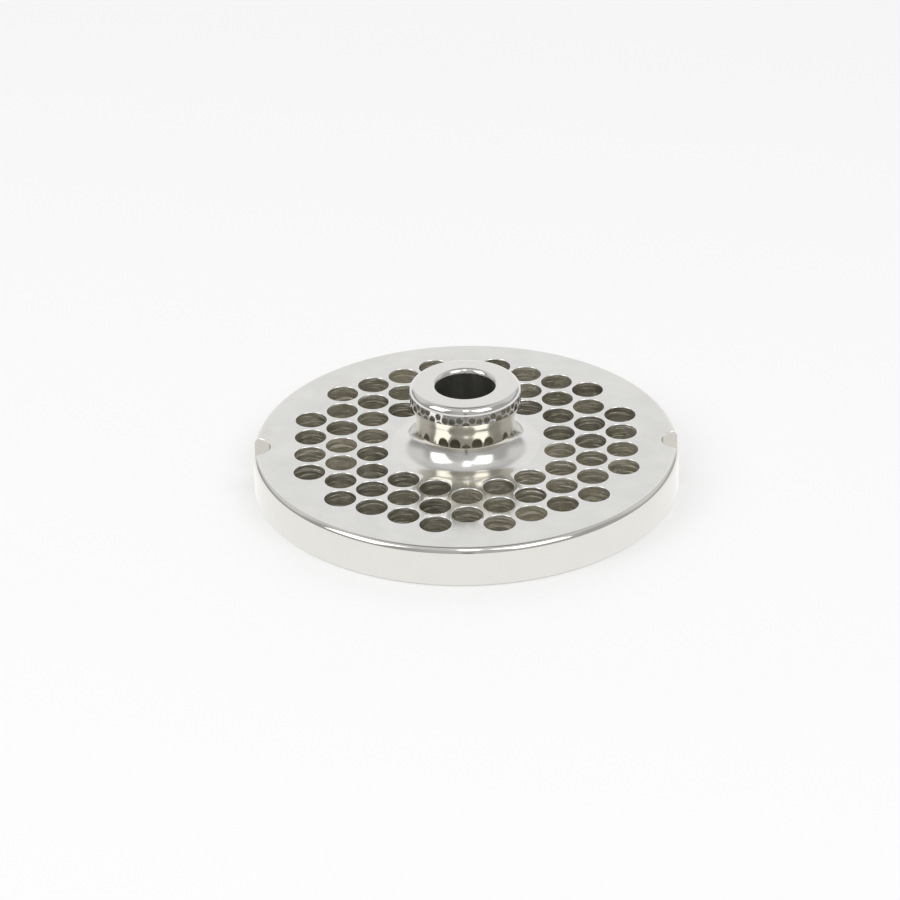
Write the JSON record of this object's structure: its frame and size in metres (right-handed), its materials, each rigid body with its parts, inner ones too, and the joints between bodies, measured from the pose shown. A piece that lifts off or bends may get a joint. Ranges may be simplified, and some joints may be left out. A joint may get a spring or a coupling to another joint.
{
  "type": "meat grinder plate",
  "caption": "Flat round perforated cutting plate with a turned hub, a through bore and two half-round key notches in its rim.",
  "frame": {"origin": "centre of the flat cutting face that the plate lies on, on the bore's axis", "axes": "+Z along the bore towards the hub's open end, X through the two key notches, a column of cutting holes along Y"},
  "size_m": [0.0818, 0.082, 0.021],
  "materials": {
    "stainless_steel": "ground and polished stainless steel"
  },
  "bodies": {
    "root": {"grinder_plate": "stainless_steel"}
  },
  "joints": []
}
